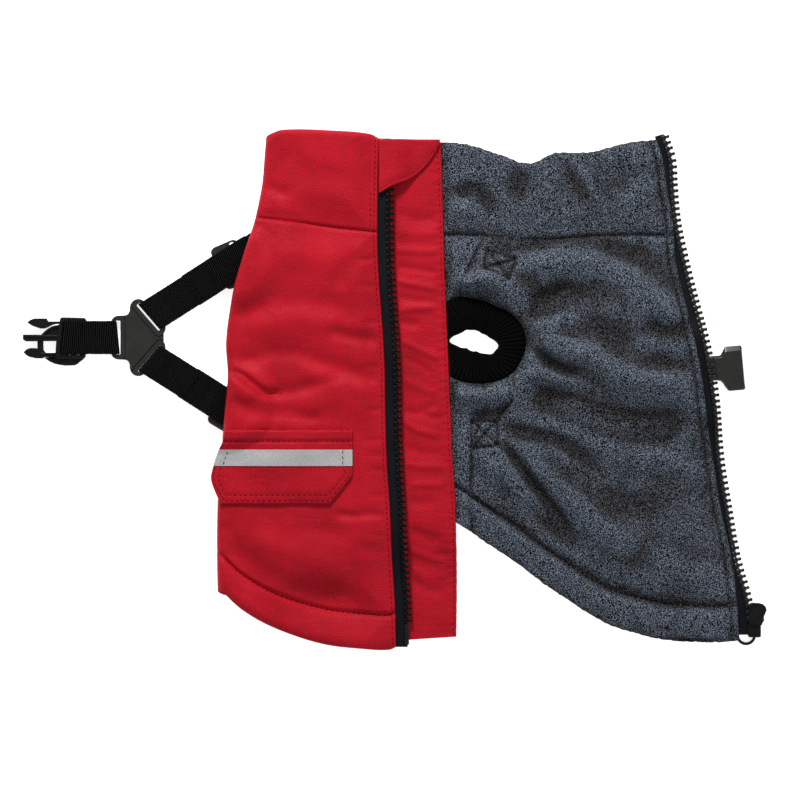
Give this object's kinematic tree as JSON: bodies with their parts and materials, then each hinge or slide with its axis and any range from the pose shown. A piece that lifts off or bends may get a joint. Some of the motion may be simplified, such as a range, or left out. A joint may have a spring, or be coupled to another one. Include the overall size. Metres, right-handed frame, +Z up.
{
  "type": "dog winter coat",
  "caption": "Quilted dog winter coat with fleece lining, ribbed leg holes, centre zip, storm flap, flap pocket and a built-in webbing harness, unzipped and laid flat with one half folded over.",
  "frame": {"origin": "middle of the laid out coat's box, on the surface that it lies on", "axes": "+X across the coat, from the male buckle to the zip slider; +Y along the dog's back towards the collar; +Z up from the surface"},
  "size_m": [0.4461, 0.3119, 0.0193],
  "materials": {
    "red_shell": "matt brushed polyester, lightly padded",
    "grey_fleece": "napped fleece",
    "rib_knit": "ribbed knit",
    "black_webbing": "woven polyester webbing",
    "black_plastic": "moulded acetal, satin",
    "zip_teeth": "moulded plastic, semi-gloss",
    "zip_tape": "woven tape",
    "silver_reflective": "grey retroreflective tape"
  },
  "bodies": {
    "coat": {"shell_side_right": "red_shell", "shell_belly": "red_shell", "shell_side_left": "red_shell", "collar_shell": "red_shell", "lining_side_right": "grey_fleece", "lining_belly": "grey_fleece", "lining_side_left": "grey_fleece", "collar_lining": "grey_fleece", "cuff_right": "rib_knit", "cuff_left": "rib_knit", "zip_tape_right": "zip_tape", "zip_tape_left": "zip_tape", "zip_chain_right": "zip_teeth", "zip_chain_left": "zip_teeth", "zip_slider": "zip_teeth", "zip_box": "zip_teeth", "zip_pin": "zip_teeth", "storm_flap": "red_shell", "zip_garage": "red_shell", "pocket_flap": "red_shell", "reflective_tape": "silver_reflective", "yoke_left": "black_plastic", "yoke_right": "black_plastic", "glide_upper": "black_plastic", "glide_lower": "black_plastic", "buckle_male": "black_plastic", "buckle_female": "black_plastic", "strap_upper_left": "black_webbing", "strap_lower_left": "black_webbing", "strap_upper_right": "black_webbing", "strap_lower_right": "black_webbing", "strap_buckle_left": "black_webbing", "strap_buckle_right": "black_webbing"},
    "zip_pull": {"zip_pull": "zip_teeth"}
  },
  "joints": [
    {"name": "zip_pull_swing", "type": "hinge", "parent": "coat", "child": "zip_pull", "pos_m": [0.2187, -0.1352, 0.00235], "axis": [1, 0, 0], "range_deg": [0, 150]}
  ]
}
